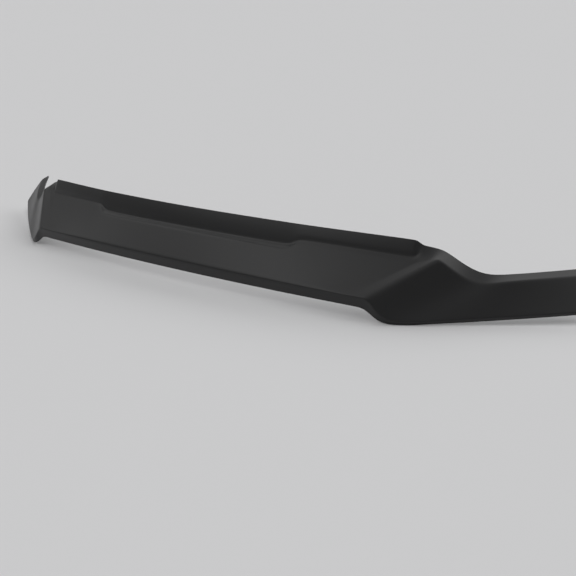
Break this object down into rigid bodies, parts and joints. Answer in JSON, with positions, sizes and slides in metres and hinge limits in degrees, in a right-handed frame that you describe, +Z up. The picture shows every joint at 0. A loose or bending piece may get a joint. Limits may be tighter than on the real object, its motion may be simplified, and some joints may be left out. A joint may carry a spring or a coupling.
{
  "type": "hood bug deflector",
  "caption": "Dark plastic shield that crosses the front edge of a hood, wraps round its corners and turns airflow, insects and stones up and away.",
  "frame": {"origin": "middle of the adhesive face of the lower tape strip, in the plane of symmetry, where the shield is pressed on the front of the hood", "axes": "+X to the vehicle's left along the length, +Y to the rear, +Z up"},
  "size_m": [1.722, 0.3223, 0.1605],
  "materials": {
    "satin_black_plastic": "satin, finely textured",
    "foam_tape": "closed-cell foam with adhesive faces"
  },
  "bodies": {
    "root": {"shield": "satin_black_plastic", "tape_lower_middle": "foam_tape", "tape_upper_middle": "foam_tape", "tape_lower_left": "foam_tape", "tape_upper_left": "foam_tape", "tape_lower_right": "foam_tape", "tape_upper_right": "foam_tape"}
  },
  "joints": []
}
